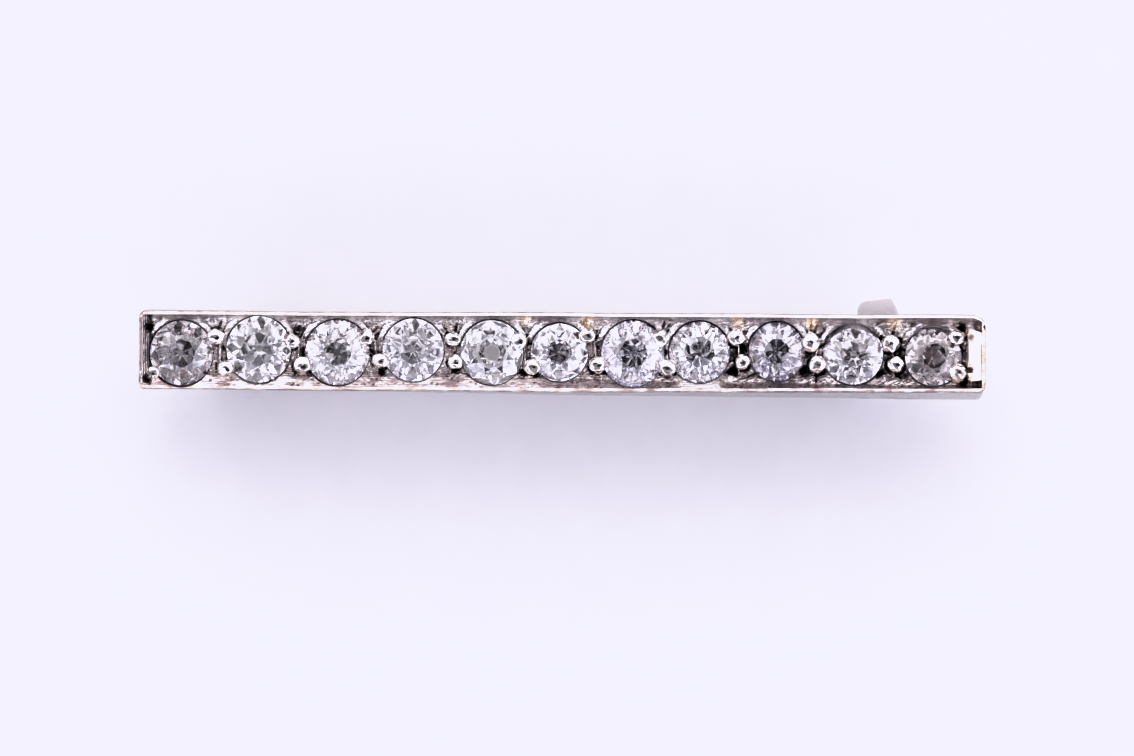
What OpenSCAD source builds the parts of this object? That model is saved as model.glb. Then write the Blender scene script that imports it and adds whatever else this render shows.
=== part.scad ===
// Bar brooch: a long narrow tray of white metal, grain set with a row of round old-cut stones.
// X runs along the bar, +Y is its upper edge seen from the front, +Z points out of its face.
// It lies on its back, on the hinge ears and the catch, on the plane z = 0.

/* [Stones] */
// Diameter that the stone table's shares refer to
stone_d = 2.66; // [2.2:0.02:3.2]
// Metal between two neighbouring stones of that diameter
stone_gap = 0.54; // [0.5:0.02:0.9]
// Thickness of the girdle, the band round each stone's edge
girdle_t = 0.08; // [0.06:0.01:0.12]
// Clearance between a stone and the metal that holds it
seat_gap = 0.03; // [0.02:0.01:0.05]
// Diameter of the light hole under each stone
light_hole_d = 1.6; // [1.2:0.05:1.8]
// Width and depth of the countersink at the back of each light hole
hole_flare = 0.22; // [0.1:0.02:0.3]

/* [Bar] */
// Metal beside the stones, along both long edges
side_margin = 0.36; // [0.28:0.01:0.5]
// Metal beyond the first stone, at the left end
left_margin = 0.5; // [0.4:0.05:1.2]
// Metal beyond the last stone, at the right end
right_margin = 0.88; // [0.4:0.05:1.4]
// Height of the bar from its back to its rim
bar_d = 2.4; // [2.2:0.05:3]
// Angle that the bar is twisted by from end to end, in degrees
bar_twist = 11; // [0:0.5:14]
// Radius of the bar's upright corners
corner_r = 0.28; // [0.1:0.02:0.4]
// Chamfer along the back's edges
back_chamfer = 0.2; // [0.1:0.02:0.3]
// Width of the rim's flat top
rim_w = 0.16; // [0.1:0.01:0.2]
// Depth of the pocket that the stones are set in
pocket_d = 0.8; // [0.5:0.05:1]
// Width of the bright-cut wall along both long sides
side_bevel = 0.36; // [0.2:0.02:0.5]
// Width of the bright-cut wall at the left end
left_bevel = 0.36; // [0.2:0.02:0.5]
// Width of the bright-cut wall at the right end
right_bevel = 0.56; // [0.2:0.02:0.7]

/* [Grains] */
// Diameter that the grain table's shares refer to
grain_d = 0.68; // [0.5:0.02:0.8]
// Height of a grain's centre above the pocket's floor
grain_rise = 0.14; // [0.08:0.01:0.2]

/* [Pin] */
// Diameter of the pin's stem
pin_d = 0.8; // [0.6:0.05:1]
// Diameter of the pin's point
point_d = 0.16; // [0.1:0.02:0.3]
// Length of the stretch that tapers to the point
taper_l = 4; // [3:0.5:8]
// Length of the point beyond the catch
point_l = 1.1; // [0.6:0.1:1.6]
// Height of the gap for cloth between the pin and the bar's back
cloth_gap = 1.65; // [1.4:0.05:3]

/* [Hinge] */
// Distance of the hinge's axis from the bar's left end
hinge_inset = 3.5; // [3:0.1:6]
// Thickness of each hinge ear
ear_t = 0.5; // [0.35:0.05:0.6]
// Width of each hinge ear along the bar
ear_w = 1.6; // [1.5:0.05:2]
// Diameter of the pin's eye
eye_d = 1.5; // [1.2:0.05:1.6]
// Length of the pin's eye, across the bar
eye_l = 1.4; // [1:0.05:1.5]
// Diameter of the rivet
rivet_d = 0.7; // [0.5:0.05:0.8]
// Diameter of the rivet's heads
head_d = 1.1; // [1:0.05:1.3]
// Height of the rivet's heads
head_h = 0.2; // [0.1:0.02:0.25]
// Clearance round the rivet and beside the eye and the heads
hinge_gap = 0.04; // [0.03:0.01:0.06]

/* [Catch] */
// Distance of the catch's middle from the bar's right end
catch_inset = 4.4; // [4:0.1:6]
// Width of the catch along the bar
catch_w = 1.88; // [1.4:0.05:2.2]
// Thickness of the catch's strip
catch_t = 0.4; // [0.3:0.02:0.5]
// Gap between the pin and the bottom of the hook
catch_gap = 0.12; // [0.08:0.01:0.2]
// Length of the flat run under the hook
catch_flat = 0.6; // [0.4:0.05:0.8]
// Distance of the lip's far corner from the bar's middle line
lip_reach = 2.7; // [2.1:0.02:2.8]
// Length over which the lip narrows to its end
lip_l = 0.7; // [0.5:0.02:0.9]
// Width of the lip at its end
lip_w = 1.16; // [0.8:0.02:1.4]
// How much nearer the lip's left corner is than its right one
lip_slant = 0.13; // [0:0.01:0.2]
// Radius of the lip's corners
lip_r = 0.2; // [0.1:0.02:0.3]
// Slope of the lip, in degrees
lip_slope = 25; // [15:1:35]
// Radius of the bend where the hook turns out into the lip
lip_bend = 0.3; // [0.2:0.05:0.4]
// Depth that the ears and the catch reach into the bar where they are soldered on
solder_d = 0.35; // [0.3:0.05:0.5]

/* [Hidden] */
$fn = 48;

// One row for each stone, from the left.
// along: shift along the bar, as a share of the pitch. across: shift across it, as a share of stone_d.
// size: diameter as a share of stone_d. oval: its width along the bar as a share of its diameter.
// table, crown, pavilion, culet: shares of the stone's diameter. spin: turn of its facets, in degrees.
// lean_x, lean_y: lean about the bar's long and cross axes, in degrees.
STONES = [
    // along, across, size, oval, table, crown, pavilion, culet, spin, lean_x, lean_y
    [-0.02, -0.05, 1.04, 0.97, 0.44, 0.180, 0.40, 0.08, 7, 0.0, 3.0],
    [0.01, 0.02, 1.07, 0.97, 0.52, 0.160, 0.40, 0.10, 42, 1.0, -3.0],
    [0.06, -0.02, 1.05, 0.98, 0.44, 0.180, 0.42, 0.10, 32, -1.0, 3.0],
    [0.07, 0.03, 1.01, 0.97, 0.46, 0.180, 0.41, 0.08, 41, 2.0, -1.0],
    [0.12, 0.00, 1.04, 0.97, 0.44, 0.160, 0.34, 0.28, 6, -1.0, 2.0],
    [0.02, 0.01, 0.93, 0.99, 0.44, 0.170, 0.43, 0.06, 0, 1.0, 3.0],
    [0.00, 0.00, 1.07, 0.95, 0.44, 0.180, 0.46, 0.06, 37, 1.0, 3.0],
    [-0.11, 0.03, 0.99, 0.98, 0.52, 0.140, 0.46, 0.10, 34, 1.0, -0.5],
    [-0.08, 0.05, 0.96, 0.94, 0.44, 0.140, 0.47, 0.06, 18, 1.0, 1.0],
    [-0.06, 0.02, 0.98, 0.98, 0.46, 0.160, 0.40, 0.12, 38, -1.0, -2.0],
    [0.01, -0.01, 0.94, 0.97, 0.44, 0.150, 0.41, 0.05, 35, 3.0, 3.0],
];

// One row for each grain. after: the stone on its left, or 0 at the left end.
// along: shift from the middle of that gap, as a share of the pitch.
// across: distance above the bar's middle line, as a share of stone_d. size: share of grain_d.
GRAINS = [
    // after, along, across, size
    [0, 0.12, -0.37, 0.85],
    [1, -0.06, 0.22, 0.95],
    [1, 0.08, -0.29, 1.10],
    [2, -0.08, 0.16, 1.00],
    [2, 0.06, -0.23, 1.05],
    [3, -0.12, 0.22, 1.00],
    [3, 0.07, -0.15, 1.00],
    [4, 0.01, 0.21, 0.90],
    [4, 0.04, -0.16, 0.90],
    [5, -0.09, 0.18, 1.00],
    [5, 0.09, -0.23, 0.95],
    [6, -0.12, 0.29, 1.00],
    [6, 0.02, -0.19, 1.00],
    [7, -0.08, 0.25, 1.00],
    [7, 0.01, -0.23, 1.05],
    [8, -0.03, 0.27, 1.10],
    [8, 0.06, -0.13, 0.90],
    [9, -0.06, 0.21, 1.10],
    [9, 0.03, -0.16, 1.05],
    [10, -0.04, 0.19, 1.10],
    [10, 0.03, -0.15, 1.05],
    [11, -0.20, 0.30, 1.05],
    [11, -0.18, -0.28, 1.05],
];

// How far the star facets reach from the table's corners to the girdle, and the lower halves from the culet.
STAR = 0.5;
LOWER_HALF = 0.5;
// The most of the girdle's thickness that one side's scallops take.
SCALLOP = 0.4;
// Overlap of cuts that run out of a face.
CUT = 0.4;
// Stretches that the twisted bar is built in.
SPANS = 8;
// Directions, in degrees, of the points that round the bar's upright corners.
TURNS = [90, 65, 40, 20, 0];
// Diameter of a rivet head's top, as a share of its foot.
HEAD_TOP = 0.6;

stone_count = len(STONES);
pitch = stone_d + stone_gap;
bar_l = (stone_count - 1) * pitch + stone_d + left_margin + right_margin;
bar_w = stone_d + 2 * side_margin;
first_x = -bar_l / 2 + left_margin + stone_d / 2;
pin_z = catch_t + catch_gap + pin_d / 2;
back_z = pin_z + pin_d / 2 + cloth_gap;
mid_z = back_z + bar_d / 2;
girdle_depth = pocket_d + girdle_t / 2;
bar_reach = bar_w / 2 * cos(bar_twist / 2) + bar_d / 2 * sin(bar_twist / 2);
// The origin lies under the middle of the whole brooch, and the catch's lip reaches past the bar.
centre_y = (lip_reach - bar_reach) / 2;

function roll(x) = -bar_twist * x / bar_l;
function stone_x(i) = first_x + (i + STONES[i][0]) * pitch;
function stone_y(i) = STONES[i][1] * stone_d;
function diameter(i) = STONES[i][2] * stone_d;
function gap_x(n) =
    n == 0 ? stone_x(0) - pitch / 2
    : n == stone_count ? stone_x(n - 1) + pitch / 2
    : (stone_x(n - 1) + stone_x(n)) / 2;

// Places its children at a point of the twisted bar: x along it, y across it, depth below its rim.
module on_bar(x, y, depth) {
    translate([x, 0, mid_z]) rotate([roll(x), 0, 0]) translate([0, y, bar_d / 2 - depth]) children();
}

// Places its children at stone i's girdle, with the stone's lean.
module on_seat(i) {
    on_bar(stone_x(i), stone_y(i), girdle_depth) rotate([STONES[i][9], STONES[i][10], 0]) children();
}

// Moves a piece from the bar's middle line to the brooch's own origin.
module placed() {
    translate([0, -centre_y, 0]) children();
}

// A point of the twisted bar: y across it and h above the middle of its height.
function twisted(x, y, h) =
    let (a = roll(x))
    [x, y * cos(a) - h * sin(a), mid_z + y * sin(a) + h * cos(a)];

// A closed skin over rings of points that follow each other along the bar.
module loft(rings) {
    n = len(rings[0]);
    last = (len(rings) - 1) * n;
    sides = [
        for (k = [0:len(rings) - 2], i = [0:n - 1])
            let (a = k * n + i, b = k * n + (i + 1) % n)
            each [[a, b, b + n], [a, b + n, a + n]]
    ];
    polyhedron(
        points = [for (ring = rings) each ring],
        faces = concat([[for (i = [n - 1:-1:0]) i]], sides, [[for (i = [0:n - 1]) last + i]])
    );
}

// Half the bar's width at x, which the upright corners round off at both ends.
function half_width(x) =
    let (over = max(0, abs(x) - (bar_l / 2 - corner_r)))
    bar_w / 2 - corner_r + sqrt(max(0, corner_r * corner_r - over * over));

module bar_block() {
    straight = bar_l - 2 * corner_r;
    stations = concat(
        [for (a = TURNS) -bar_l / 2 + corner_r * (1 - sin(a))],
        [for (i = [1:SPANS - 1]) -straight / 2 + straight * i / SPANS],
        [for (i = [len(TURNS) - 1:-1:0]) bar_l / 2 - corner_r * (1 - sin(TURNS[i]))]
    );
    loft([
        for (x = stations)
            let (w = half_width(x), h = bar_d / 2, c = back_chamfer)
            [
                twisted(x, -w, h), twisted(x, w, h), twisted(x, w, c - h),
                twisted(x, w - c, -h), twisted(x, c - w, -h), twisted(x, -w, c - h)
            ]
    ]);
}

// The pocket's four bright-cut walls slope from the rim to its floor, and on above the rim.
module pocket() {
    rise = CUT / pocket_d;
    floor_w = bar_w / 2 - rim_w - side_bevel;
    open_w = bar_w / 2 - rim_w + side_bevel * rise;
    floor_x = [-bar_l / 2 + rim_w + left_bevel, bar_l / 2 - rim_w - right_bevel];
    open_x = [-bar_l / 2 + rim_w - left_bevel * rise, bar_l / 2 - rim_w + right_bevel * rise];
    floor_h = bar_d / 2 - pocket_d;
    open_h = bar_d / 2 + CUT;
    loft([
        for (i = [0:SPANS])
            let (
                s = i / SPANS,
                fx = floor_x[0] + (floor_x[1] - floor_x[0]) * s,
                ox = open_x[0] + (open_x[1] - open_x[0]) * s
            )
            [
                twisted(ox, -open_w, open_h), twisted(ox, open_w, open_h),
                twisted(fx, floor_w, floor_h), twisted(fx, -floor_w, floor_h)
            ]
    ]);
}

// Radius and height of the corners where star, main and upper girdle facets meet.
function shoulder_r(r, table_r) =
    let (inner = table_r / cos(22.5))
    inner + (r - inner) * STAR;
function shoulder_z(r, table_r, crown_h) =
    let (slope = crown_h / (r - table_r))
    girdle_t / 2 + crown_h - slope * (shoulder_r(r, table_r) * cos(22.5) - table_r);

// Radius and height of the corners where the pavilion's lower half and main facets meet.
function keel_r(r, culet_r) = culet_r + (r - culet_r) * LOWER_HALF;
function keel_z(r, culet_r, depth) =
    let (slope = depth / (r - culet_r))
    slope * (keel_r(r, culet_r) * cos(22.5) - culet_r) - girdle_t / 2 - depth;

// The stone's own envelope with its clearance, its bearing cone and the light hole down to the back.
module seat(i) {
    r = diameter(i) / 2;
    table_r = r * STONES[i][4];
    crown_h = diameter(i) * STONES[i][5];
    depth = diameter(i) * STONES[i][6];
    culet_r = r * STONES[i][7];
    hole_r = light_hole_d / 2;
    edge_r = r + seat_gap;
    edge_z = girdle_t / 2 + seat_gap;
    back = bar_d - girdle_depth;
    fall = seat_gap - edge_z - keel_z(r, culet_r, depth);
    slope = fall / (edge_r - seat_gap - keel_r(r, culet_r));
    rotate_extrude() polygon([
        [0, -back - CUT],
        [hole_r + hole_flare + CUT, -back - CUT],
        [hole_r, -back + hole_flare],
        [hole_r, -edge_z - (edge_r - hole_r) * slope],
        [edge_r, -edge_z],
        [edge_r, edge_z],
        [shoulder_r(r, table_r) + seat_gap, shoulder_z(r, table_r, crown_h) + seat_gap],
        [table_r + seat_gap, edge_z + crown_h],
        [0, edge_z + crown_h]
    ]);
}

// The opening above a stone's girdle, which scallops the bright-cut walls.
module opening(i) {
    cylinder(h = girdle_depth + CUT, r = diameter(i) / 2 + seat_gap);
}

module grains() {
    for (g = GRAINS)
        on_bar(gap_x(g[0]) + g[1] * pitch, g[2] * stone_d, pocket_d - grain_rise)
            sphere(d = grain_d * g[3]);
}

function arc(y, z, r, from, to, steps = 8) =
    [for (i = [0:steps]) let (a = from + (to - from) * i / steps) [y + r * cos(a), z + r * sin(a)]];

// The strip's outline in the YZ plane: down from the bar, under the pin, up and out to the lip.
function catch_outline() =
    let (
        flat = catch_flat / 2,
        outer = pin_z,
        inner = pin_z - catch_t,
        bend = catch_t / 2 + lip_bend,
        bend_y = flat + inner + catch_t / 2 + bend,
        up = 90 + lip_slope,
        ends_y = lip_reach + CUT,
        top = back_z + solder_d,
        lip = function (r) let (y0 = bend_y + r * cos(up), z0 = pin_z + r * sin(up))
            [ends_y, z0 + (ends_y - y0) * tan(lip_slope)]
    )
    concat(
        [[-flat - outer, top]],
        arc(-flat, pin_z, outer, 180, 270),
        arc(flat, pin_z, outer, 270, 360),
        arc(bend_y, pin_z, bend - catch_t / 2, 180, up),
        [lip(bend - catch_t / 2)],
        [lip(bend + catch_t / 2)],
        arc(bend_y, pin_z, bend + catch_t / 2, up, 180),
        arc(flat, pin_z, inner, 360, 270),
        arc(-flat, pin_z, inner, 270, 180),
        [[-flat - inner, top]]
    );

// Seen from above, the strip narrows to the lip's rounded end.
module catch_plan() {
    shoulder_y = lip_reach - lip_l;
    side = catch_w / 2 - lip_r;
    tip = lip_w / 2 - lip_r;
    hull() {
        for (x = [-side, side], y = [-bar_w / 2, shoulder_y]) translate([x, y]) circle(r = lip_r, $fn = 32);
        translate([tip, lip_reach - lip_r]) circle(r = lip_r, $fn = 32);
        translate([-tip, lip_reach - lip_slant - lip_r]) circle(r = lip_r, $fn = 32);
    }
}

module hook_catch() {
    translate([bar_l / 2 - catch_inset, 0, 0]) intersection() {
        translate([-catch_w / 2, 0, 0])
            rotate([90, 0, 90]) linear_extrude(height = catch_w) polygon(catch_outline());
        linear_extrude(height = back_z + solder_d) catch_plan();
    }
}

module hinge_ears() {
    inside = eye_l / 2 + hinge_gap;
    translate([-bar_l / 2 + hinge_inset, 0, 0])
        for (side = [-1, 1])
            translate([0, side * (inside + ear_t / 2), pin_z]) rotate([90, 0, 0]) difference() {
                union() {
                    intersection() {
                        cylinder(h = ear_t, r = pin_z, center = true);
                        cube([ear_w, 2 * pin_z, ear_t], center = true);
                    }
                    translate([-ear_w / 2, 0, -ear_t / 2])
                        cube([ear_w, back_z + solder_d - pin_z, ear_t]);
                }
                cylinder(h = ear_t + CUT, r = rivet_d / 2 + hinge_gap, center = true);
            }
}

module setting() {
    color("gainsboro") placed() {
        difference() {
            union() {
                difference() {
                    bar_block();
                    pocket();
                    for (i = [0:stone_count - 1]) on_seat(i) opening(i);
                }
                grains();
            }
            for (i = [0:stone_count - 1]) on_seat(i) seat(i);
        }
        hinge_ears();
        hook_catch();
    }
}

// Corner k of a ring of eight, at radius r and height z, turned by half a facet if half is 0.5.
function corner(k, r, z, half = 0) = [r * cos(45 * (k + half)), r * sin(45 * (k + half)), z];

// An old cut: eight-sided table, star, main and upper girdle facets, a scalloped girdle,
// and below it lower half and main facets down to an eight-sided culet.
module old_cut(d, table, crown, pavilion, culet) {
    r = d / 2;
    table_r = r * table;
    crown_h = d * crown;
    culet_r = r * culet;
    depth = d * pavilion;
    top = girdle_t / 2 + crown_h;
    bottom = -girdle_t / 2 - depth;
    s_r = shoulder_r(r, table_r);
    s_z = shoulder_z(r, table_r, crown_h);
    p_r = keel_r(r, culet_r);
    p_z = keel_z(r, culet_r, depth);
    // A facet's plane meets the round girdle a little lower halfway along its edge.
    dip = r * (1 - cos(11.25)) / cos(11.25);
    upper_dip = dip * (s_z - girdle_t / 2) / (r - s_r);
    lower_dip = dip * (-girdle_t / 2 - p_z) / (r - p_r);
    dips = min(upper_dip, girdle_t * SCALLOP);
    rises = min(lower_dip, girdle_t * SCALLOP);
    points = concat(
        [for (k = [0:7]) corner(k, table_r, top)],
        [for (k = [0:7]) corner(k, s_r, s_z, 0.5)],
        [for (j = [0:31]) corner(j / 4, r, girdle_t / 2 - (j % 2) * dips)],
        [for (j = [0:31]) corner(j / 4, r, -girdle_t / 2 + (j % 2) * rises)],
        [for (k = [0:7]) corner(k, p_r, p_z, 0.5)],
        [for (k = [0:7]) corner(k, culet_r, bottom)]
    );
    t = 0;
    s = 8;
    u = 16;
    l = 48;
    p = 80;
    c = 88;
    faces = concat(
        [[for (k = [7:-1:0]) t + k]],
        [for (k = [0:7]) [t + k, t + (k + 1) % 8, s + k]],
        [for (k = [0:7]) [t + k, s + k, u + 4 * k, s + (k + 7) % 8]],
        [for (k = [0:7]) [s + k, u + 4 * k + 2, u + 4 * k + 1, u + 4 * k]],
        [for (k = [0:7]) [s + k, u + (4 * k + 4) % 32, u + 4 * k + 3, u + 4 * k + 2]],
        [for (j = [0:31]) each [
            [u + j, u + (j + 1) % 32, l + (j + 1) % 32],
            [u + j, l + (j + 1) % 32, l + j]
        ]],
        [for (k = [0:7]) [p + k, l + 4 * k, l + 4 * k + 1, l + 4 * k + 2]],
        [for (k = [0:7]) [p + k, l + 4 * k + 2, l + 4 * k + 3, l + (4 * k + 4) % 32]],
        [for (k = [0:7]) [c + k, p + (k + 7) % 8, l + 4 * k, p + k]],
        [for (k = [0:7]) [c + (k + 1) % 8, c + k, p + k]],
        [[for (k = [0:7]) c + k]]
    );
    polyhedron(points = points, faces = faces);
}

module stone(n) {
    row = STONES[n - 1];
    color("aliceblue") placed() on_seat(n - 1)
        scale([row[3], 1, 1]) rotate([0, 0, row[8]])
            old_cut(diameter(n - 1), row[4], row[5], row[6], row[7]);
}

module pin() {
    outer = eye_l / 2 + hinge_gap + ear_t + hinge_gap;
    point_x = bar_l / 2 - catch_inset + catch_w / 2 + point_l;
    stem_l = point_x - taper_l - (-bar_l / 2 + hinge_inset);
    color("silver") placed() translate([-bar_l / 2 + hinge_inset, 0, pin_z]) {
        rotate([90, 0, 0]) cylinder(h = eye_l, d = eye_d, center = true);
        rotate([90, 0, 0]) cylinder(h = 2 * outer + head_h, d = rivet_d, center = true);
        for (side = [-1, 1])
            rotate([side * 90, 0, 0]) translate([0, 0, outer])
                cylinder(h = head_h, d1 = head_d, d2 = head_d * HEAD_TOP);
        rotate([0, 90, 0]) cylinder(h = stem_l, d = pin_d);
        translate([stem_l, 0, 0]) rotate([0, 90, 0]) cylinder(h = taper_l, d1 = pin_d, d2 = point_d);
    }
}

setting();
stone(1);  // stone_01
stone(2);  // stone_02
stone(3);  // stone_03
stone(4);  // stone_04
stone(5);  // stone_05
stone(6);  // stone_06
stone(7);  // stone_07
stone(8);  // stone_08
stone(9);  // stone_09
stone(10);  // stone_10
stone(11);  // stone_11
pin();
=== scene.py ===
import math
import random

import bpy
import numpy as np
from mathutils import Matrix, Vector, noise


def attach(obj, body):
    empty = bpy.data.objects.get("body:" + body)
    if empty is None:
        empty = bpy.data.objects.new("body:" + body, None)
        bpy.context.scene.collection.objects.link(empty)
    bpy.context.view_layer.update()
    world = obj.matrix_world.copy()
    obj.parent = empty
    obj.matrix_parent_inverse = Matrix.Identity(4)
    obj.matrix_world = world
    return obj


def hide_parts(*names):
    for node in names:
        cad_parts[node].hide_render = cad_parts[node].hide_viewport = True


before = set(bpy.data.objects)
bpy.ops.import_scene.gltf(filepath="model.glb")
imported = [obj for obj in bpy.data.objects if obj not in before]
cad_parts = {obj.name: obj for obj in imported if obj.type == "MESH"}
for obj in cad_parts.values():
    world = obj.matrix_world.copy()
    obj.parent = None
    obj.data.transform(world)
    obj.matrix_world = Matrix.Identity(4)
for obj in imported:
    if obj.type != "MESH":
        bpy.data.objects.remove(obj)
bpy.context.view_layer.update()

# The script works in millimetres and scales its meshes to metres at the end.
MM = 0.001
METRES = Matrix.Scale(MM, 4)
PHOTO_W = 1134
PHOTO_H = 756

# The bar, as the CAD has it. Bar space has x along the bar, y across it and h above the middle of its height.
BAR_L = 36.04
BAR_W = 3.38
BAR_D = 2.4
BAR_TWIST = math.radians(11)
MID_Z = 4.17
CENTRE_Y = 0.4514
CORNER_R = 0.28
CUT_CORNER_L = 0.50
CUT_CORNER_W = 0.20
RIM_W = 0.16
RIM_CROWN = 0.035
WORN_EDGE = 0.055
WORN_DROP = 0.07
POCKET_D = 0.8
BACK_CHAMFER = 0.2

# The bright-cut walls inside the rim: how far each reaches in, and how deep it is there, before the floor.
TOP_BEVEL = (0.36, 0.80)
BOTTOM_BEVEL = (0.44, 0.36)
LEFT_BEVEL = (0.34, 0.70)
RIGHT_BEVEL = (0.56, 0.34)
FACET_TOP = 0.58
FACET_FOOT = 0.44
GROOVE_DEPTH = 0.028
GROOVES_TO_A_MM = 75

# The stones' row: their pitch and usual size, and the height of their girdles above the middle of the bar's.
PITCH = 3.2
STONE_D = 2.66
GIRDLE_H = 0.36

# Each stone's seat: the clearance round it, the waist that it narrows to below the stone, and its light hole.
SEAT_GAP = 0.02
WAIST_R = 0.42
WAIST_GAP = 0.10
LIGHT_HOLE_R = 0.8
HOLE_FLARE = 0.22
CUT_SIDES = 72

# The opening above a seat: its clearance, then its rings as shares of its radius and heights above the
# girdle.
OPENING_GAP = 0.058
OPENING_RINGS = [(1, -0.03), (1, 0.04), (1, 0.11), (1.001, 0.18), (1.002, 0.30), (1.003, 0.45), (1.004, 0.9),
                 (1.01, 1.6)]
OPENING_WOBBLE = 0.0025

# How finely the bar's skin is divided. The fine strip runs along inside the rim.
END_ZONE, END_STEP = 0.6, 0.02
SECOND_ZONE, GAP_HALF, GAP_STEP = 1.1, 0.55, 0.038
STONE_STEP = 0.11
FINE_STRIP, FINE_STEPS = 0.44, 10
FLOOR_STEPS = 52
BACK_STEPS = 8
SIDE_HEIGHTS = (1.0, 0.75, 0.4, 0, -0.4, -0.75)
SIDE_SWAY = 0.012

# The cut ledges above the stones: how far past the first lip each starts, and its depth below the rim.
LEDGES = ((0.0, 0.60), (0.22, 0.38))

# The hinge ears and the hook catch on the back.
PIN_Z = 0.92
BACK_Z = 2.97
SOLDER_D = 0.35
HINGE_X = -14.52
EAR_T = 0.5
EAR_W = 1.6
EAR_Y = 0.99
EAR_BORE_R = 0.39
CATCH_X = 13.62
CATCH_W = 1.88
CATCH_T = 0.4
CATCH_FLAT = 0.6
LIP_REACH = 2.7
LIP_L = 0.7
LIP_W = 1.16
LIP_SLANT = 0.13
LIP_R = 0.2
LIP_SLOPE = math.radians(25)
LIP_BEND = 0.3
EAR_SOLDER = (1.05, 0.42, 0.17)
CATCH_SOLDER = (1.15, 0.42, 0.2)

# Where the bar's rim shows in the photo.
RIM_LEFT_PX = 138.5
RIM_RIGHT_PX = 985.5
BAR_MIDDLE_PX = (562.0, 351.9)
BAR_TURN = math.radians(0.6)
CAMERA_TILT = math.radians(3.25)
CAMERA_DISTANCE = 280

# Strength of the light tent's parts. The far side is the one above the bar in the photo.
TENT = {"near": 0.30, "far": 0.85, "sides": 0.40, "right": 0.60, "low_far": 1.28, "low_near": 1.28}
PANEL_RANGE = (0.48, 1.40)
PANEL_SCALE = 2.4
TENT_FAR_COLOR = (1.02, 0.98, 0.94, 1)
TENT_NEAR_COLOR = (0.97, 0.955, 1.01, 1)

# The tent's dark gap overhead, broken up by bright spots. Each pair runs from no gap to the full gap:
# across the bar, along it, in height, and in the spots' noise.
GAP_ACROSS = (0.28, 0.19)
GAP_ALONG = (0.55, 0.38)
GAP_HEIGHT = (0.2, 0.5)
GAP_SPOTS = (0.60, 0.52)
SPOT_SCALE = 6.5
GAP_DARK = 0.99

# The tone curve of a bright product photo: light in, shown light, and each channel's share of it.
TONES = [(0, 0), (0.1, 0.052), (0.2, 0.13), (0.3, 0.225), (0.4, 0.33), (0.5, 0.45), (0.6, 0.605), (0.7, 0.76),
         (0.8, 0.87), (0.9, 0.90), (1.2, 0.915), (1.6, 0.945), (2.2, 0.975), (3.5, 1)]
TONE_SHARES = (1.0, 0.99, 1.12)

# One row for each grain: the stone on its left, then its shift along from the gap's middle as a share of
# the pitch, its distance above the bar's middle line as a share of STONE_D, and its size as a share of
# GRAIN_D.
GRAINS = [
    (0, 0.12, -0.37, 0.85),
    (1, -0.06, 0.22, 0.95), (1, 0.08, -0.29, 1.10),
    (2, -0.08, 0.16, 1.00), (2, 0.06, -0.23, 1.05),
    (3, -0.12, 0.22, 1.00), (3, 0.07, -0.15, 1.00),
    (4, 0.01, 0.21, 0.90), (4, 0.04, -0.16, 0.90),
    (5, -0.09, 0.18, 1.00), (5, 0.09, -0.23, 0.95),
    (6, -0.12, 0.29, 1.00), (6, 0.02, -0.19, 1.00),
    (7, -0.08, 0.25, 1.00), (7, 0.01, -0.23, 1.05),
    (8, -0.03, 0.27, 1.10), (8, 0.06, -0.13, 0.90),
    (9, -0.06, 0.21, 1.10), (9, 0.03, -0.16, 1.05),
    (10, -0.04, 0.19, 1.10), (10, 0.03, -0.15, 1.05),
    (11, -0.20, 0.30, 1.05), (11, -0.18, -0.28, 1.05),
]
GRAIN_D = 0.68
GRAIN_TOP = 0.38
GRAIN_DOME = 0.70
GRAIN_ROWS, GRAIN_SIDES = 24, 30

# The radius of the dark spot painted near a grain's top, as a share of the grain's: a painted reflection of
# the dark gap overhead, not a dent.
DARK_REFLECTION_R = 0.27

# Recesses beside the grains and in the corners, deepened and darkened with painted shade: x, y, radius, how
# much deeper than the floor, and darkness of the painted shade.
PITS = [
    (-17.60, 0.98, 0.12, 0.6, 0.90), (-17.70, -1.20, 0.12, 0.6, 0.95),
    (17.02, 1.16, 0.15, 0.5, 0.95), (17.36, -0.64, 0.12, 0.3, 0.80), (17.12, -1.14, 0.17, 0.4, 0.95),
    (17.99, 1.16, 0.05, 0.3, 0.90), (17.01, 0.30, 0.06, 0.4, 0.95), (17.01, 0.10, 0.06, 0.4, 0.95),
    (17.01, -0.12, 0.06, 0.4, 0.95), (17.03, -0.32, 0.06, 0.4, 0.90),
    (-1.60, -0.86, 0.14, 0.5, 0.90), (4.40, 0.06, 0.10, 0.5, 0.95), (7.32, -0.78, 0.14, 0.6, 0.95),
    (10.30, -0.66, 0.12, 0.5, 0.70), (13.50, -0.80, 0.13, 0.5, 0.70), (-14.10, 0.62, 0.10, 0.5, 0.95),
    (-7.70, -0.90, 0.12, 0.2, 0.55), (-11.25, 0.98, 0.10, 0.4, 0.80), (13.62, 0.72, 0.10, 0.4, 0.80),
    (-4.85, 0.70, 0.10, 0.3, 0.80), (-4.60, -0.72, 0.13, 0.2, 0.60), (-10.75, -0.98, 0.12, 0.2, 0.60),
]

# Brown patches and one bright patch on the lower wall, where it is cut shallower and is partly painted
# highlight, and painted highlights on the upper wall: x and half length. Then the middle of the stained spot
# on the right end's bright facet.
LOWER_PATCHES = [(-11.10, 0.30), (-8.00, 0.20), (-4.60, 0.22), (-16.60, 0.20), (-14.2, 0.15)]
LOWER_GLINTS = [(5.90, 0.80)]
UPPER_GLINTS = [(-1.60, 0.30), (1.10, 0.25), (7.50, 0.30), (10.60, 0.35), (14.10, 0.40), (-12.60, 0.25)]
FACET_SPOT = (17.42, 0.74)

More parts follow.
